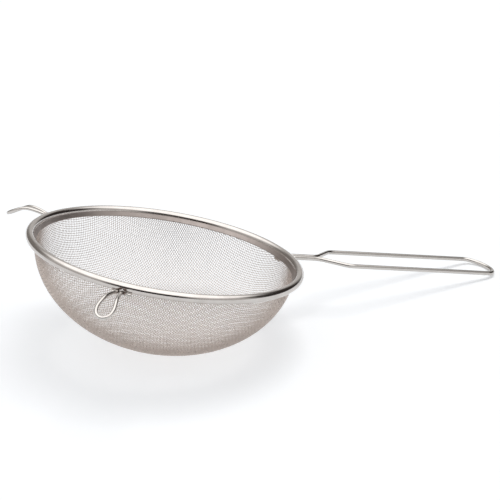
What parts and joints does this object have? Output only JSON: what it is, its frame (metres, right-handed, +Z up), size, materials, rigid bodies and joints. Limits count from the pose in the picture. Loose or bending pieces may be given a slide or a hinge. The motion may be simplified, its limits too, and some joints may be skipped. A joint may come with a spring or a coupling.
{
  "type": "strainer",
  "caption": "Fine-mesh kitchen strainer: a round woven-wire bowl in a rolled steel rim, with a long wire-loop handle and wire ears that rest on a pot.",
  "frame": {"origin": "middle of the flat spot where the bowl stands on the table", "axes": "+Z up as it stands on a table, +X from the bowl towards the end of the handle, +Y towards the left ear"},
  "size_m": [0.4009, 0.2267, 0.0967],
  "materials": {
    "woven_wire": "woven stainless wire cloth, bright drawn wire",
    "rim_steel": "rolled stainless strip, polished",
    "drawn_wire": "drawn stainless wire, polished"
  },
  "bodies": {
    "root": {"mesh_bowl": "woven_wire", "rim_hoop": "rim_steel", "hem_wire": "drawn_wire", "handle_wire": "drawn_wire", "ear_left": "drawn_wire", "ear_right": "drawn_wire"}
  },
  "joints": []
}
